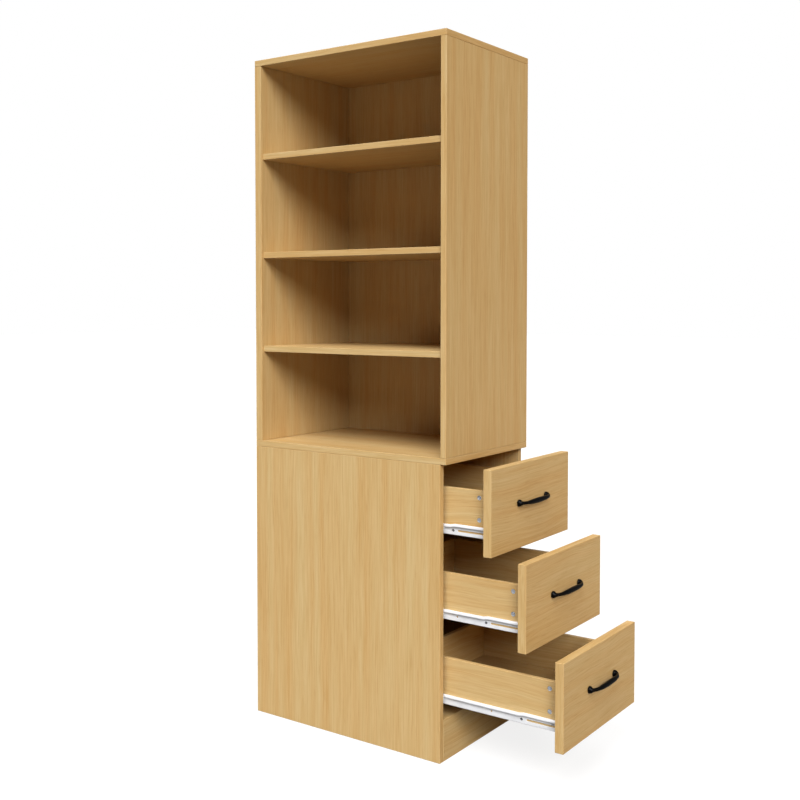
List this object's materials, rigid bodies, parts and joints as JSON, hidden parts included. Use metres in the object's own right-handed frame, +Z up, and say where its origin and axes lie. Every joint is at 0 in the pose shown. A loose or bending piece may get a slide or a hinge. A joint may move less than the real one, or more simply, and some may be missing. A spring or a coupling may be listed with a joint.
{
  "type": "bookcase with drawers",
  "caption": "Tall bookcase: open shelves with a back panel over a closed cabinet whose drawers, with arched pulls, slide out at its side on roller slides.",
  "frame": {"origin": "on the floor, under the centre of the whole object's bounding box with the drawers drawn out as at rest", "axes": "+Z up; -Y is the open front of the shelves; +X is the side where the drawers open"},
  "size_m": [0.9722, 0.406, 1.8],
  "materials": {
    "oak": "light oak laminate, satin",
    "white_steel": "white powder coat",
    "nylon": "white moulded nylon",
    "black_metal": "black satin powder coat"
  },
  "bodies": {
    "carcass": {"top_board": "oak", "upper_left_side": "oak", "upper_right_side": "oak", "upper_back_panel": "oak", "upper_shelf": "oak", "middle_shelf": "oak", "lower_shelf": "oak", "middle_board": "oak", "lower_front_panel": "oak", "lower_back_panel": "oak", "lower_left_panel": "oak", "bottom_board": "oak", "plinth_board": "oak", "upper_rail_left": "white_steel", "upper_rail_right": "white_steel", "middle_rail_left": "white_steel", "middle_rail_right": "white_steel", "lower_rail_left": "white_steel", "lower_rail_right": "white_steel"},
    "upper_drawer": {"upper_drawer_front": "oak", "upper_drawer_side_left": "oak", "upper_drawer_side_right": "oak", "upper_drawer_back": "oak", "upper_drawer_tray": "oak", "upper_handle": "black_metal", "upper_runner_left": "white_steel", "upper_runner_right": "white_steel"},
    "upper_rail_rollers": {"upper_rail_roller_left": "nylon", "upper_rail_roller_right": "nylon"},
    "upper_runner_rollers": {"upper_runner_roller_left": "nylon", "upper_runner_roller_right": "nylon"},
    "middle_drawer": {"middle_drawer_front": "oak", "middle_drawer_side_left": "oak", "middle_drawer_side_right": "oak", "middle_drawer_back": "oak", "middle_drawer_tray": "oak", "middle_handle": "black_metal", "middle_runner_left": "white_steel", "middle_runner_right": "white_steel"},
    "middle_rail_rollers": {"middle_rail_roller_left": "nylon", "middle_rail_roller_right": "nylon"},
    "middle_runner_rollers": {"middle_runner_roller_left": "nylon", "middle_runner_roller_right": "nylon"},
    "lower_drawer": {"lower_drawer_front": "oak", "lower_drawer_side_left": "oak", "lower_drawer_side_right": "oak", "lower_drawer_back": "oak", "lower_drawer_tray": "oak", "lower_handle": "black_metal", "lower_runner_left": "white_steel", "lower_runner_right": "white_steel"},
    "lower_rail_rollers": {"lower_rail_roller_left": "nylon", "lower_rail_roller_right": "nylon"},
    "lower_runner_rollers": {"lower_runner_roller_left": "nylon", "lower_runner_roller_right": "nylon"}
  },
  "joints": [
    {"name": "upper_drawer_slide", "type": "slide", "parent": "carcass", "child": "upper_drawer", "axis": [1, 0, 0], "range_m": [-0.121, 0.209]},
    {"name": "upper_rail_rollers_turn", "type": "hinge", "parent": "carcass", "child": "upper_rail_rollers", "pos_m": [0.1104, 0, 0.58467], "axis": [0, 1, 0], "continuous": true},
    {"name": "upper_runner_rollers_turn", "type": "hinge", "parent": "upper_drawer", "child": "upper_runner_rollers", "pos_m": [-0.1456, 0, 0.57767], "axis": [0, 1, 0], "continuous": true},
    {"name": "middle_drawer_slide", "type": "slide", "parent": "carcass", "child": "middle_drawer", "axis": [1, 0, 0], "range_m": [-0.2157, 0.1143]},
    {"name": "middle_rail_rollers_turn", "type": "hinge", "parent": "carcass", "child": "middle_rail_rollers", "pos_m": [0.1104, 0, 0.37133], "axis": [0, 1, 0], "continuous": true},
    {"name": "middle_runner_rollers_turn", "type": "hinge", "parent": "middle_drawer", "child": "middle_runner_rollers", "pos_m": [-0.0509, 0, 0.36433], "axis": [0, 1, 0], "continuous": true},
    {"name": "lower_drawer_slide", "type": "slide", "parent": "carcass", "child": "lower_drawer", "axis": [1, 0, 0], "range_m": [-0.3139, 0.0161]},
    {"name": "lower_rail_rollers_turn", "type": "hinge", "parent": "carcass", "child": "lower_rail_rollers", "pos_m": [0.1104, 0, 0.158], "axis": [0, 1, 0], "continuous": true},
    {"name": "lower_runner_rollers_turn", "type": "hinge", "parent": "lower_drawer", "child": "lower_runner_rollers", "pos_m": [0.0473, 0, 0.151], "axis": [0, 1, 0], "continuous": true}
  ],
  "couplings": [
    {"joint": "upper_rail_rollers_turn", "follows": "upper_drawer_slide", "rad_per_m": 125},
    {"joint": "upper_runner_rollers_turn", "follows": "upper_drawer_slide", "rad_per_m": 125},
    {"joint": "middle_rail_rollers_turn", "follows": "middle_drawer_slide", "rad_per_m": 125},
    {"joint": "middle_runner_rollers_turn", "follows": "middle_drawer_slide", "rad_per_m": 125},
    {"joint": "lower_rail_rollers_turn", "follows": "lower_drawer_slide", "rad_per_m": 125},
    {"joint": "lower_runner_rollers_turn", "follows": "lower_drawer_slide", "rad_per_m": 125}
  ]
}
